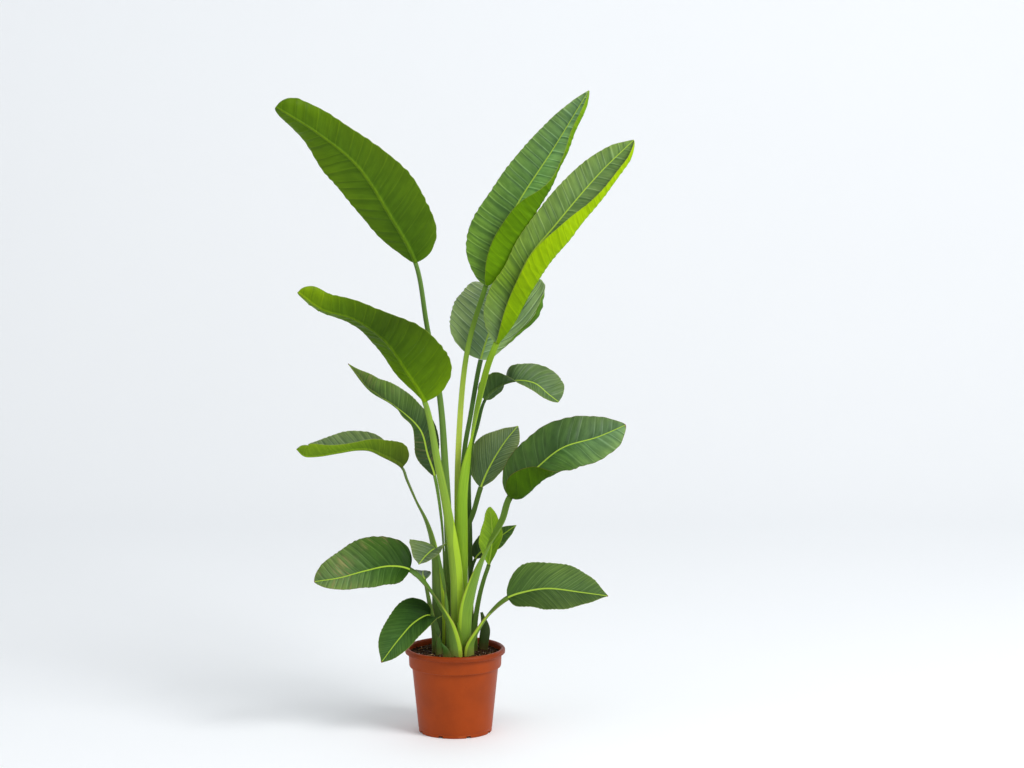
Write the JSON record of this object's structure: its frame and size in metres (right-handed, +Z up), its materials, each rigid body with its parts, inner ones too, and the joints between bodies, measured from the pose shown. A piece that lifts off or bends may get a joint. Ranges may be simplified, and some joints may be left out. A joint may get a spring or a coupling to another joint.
{
  "type": "potted bird of paradise",
  "caption": "Tall potted house plant: a clump of upright stalks with paddle-shaped leaves, standing in soil in a round tapered nursery pot with a collar and a rolled rim.",
  "frame": {"origin": "centre of the pot's flat underside, where it stands on the floor", "axes": "+Z up along the pot's axis, +X to the right and +Y to the back as the plant is seen from its front"},
  "size_m": [0.6577, 0.4017, 1.2115],
  "materials": {
    "leaf_blade": "satin",
    "leaf_stalk": "satin",
    "old_sheath": "matte",
    "pot": "satin",
    "soil": "matte"
  },
  "bodies": {
    "root": {"top_left_stalk": "leaf_stalk", "top_left_blade": "leaf_blade", "top_centre_stalk": "leaf_stalk", "top_centre_blade": "leaf_blade", "top_right_stalk": "leaf_stalk", "top_right_blade": "leaf_blade", "mid_left_stalk": "leaf_stalk", "mid_left_blade": "leaf_blade", "left_folded_stalk": "leaf_stalk", "left_folded_blade": "leaf_blade", "left_arched_stalk": "leaf_stalk", "left_arched_blade": "leaf_blade", "low_left_stalk": "leaf_stalk", "low_left_blade": "leaf_blade", "left_small_stalk": "leaf_stalk", "left_small_blade": "leaf_blade", "left_tiny_stalk": "leaf_stalk", "left_tiny_blade": "leaf_blade", "lowest_left_stalk": "leaf_stalk", "lowest_left_blade": "leaf_blade", "right_large_stalk": "leaf_stalk", "right_large_blade": "leaf_blade", "right_dark_stalk": "leaf_stalk", "right_dark_blade": "leaf_blade", "right_low_stalk": "leaf_stalk", "right_low_blade": "leaf_blade", "young_stalk": "leaf_stalk", "young_blade": "leaf_blade", "right_hidden_stalk": "leaf_stalk", "right_hidden_blade": "leaf_blade", "right_arched_stalk": "leaf_stalk", "right_arched_blade": "leaf_blade", "back_round_stalk": "leaf_stalk", "back_round_blade": "leaf_blade", "front_shoot": "leaf_stalk", "inner_sheath": "leaf_stalk", "back_sheath": "old_sheath", "pot": "pot", "soil": "soil"}
  },
  "joints": []
}
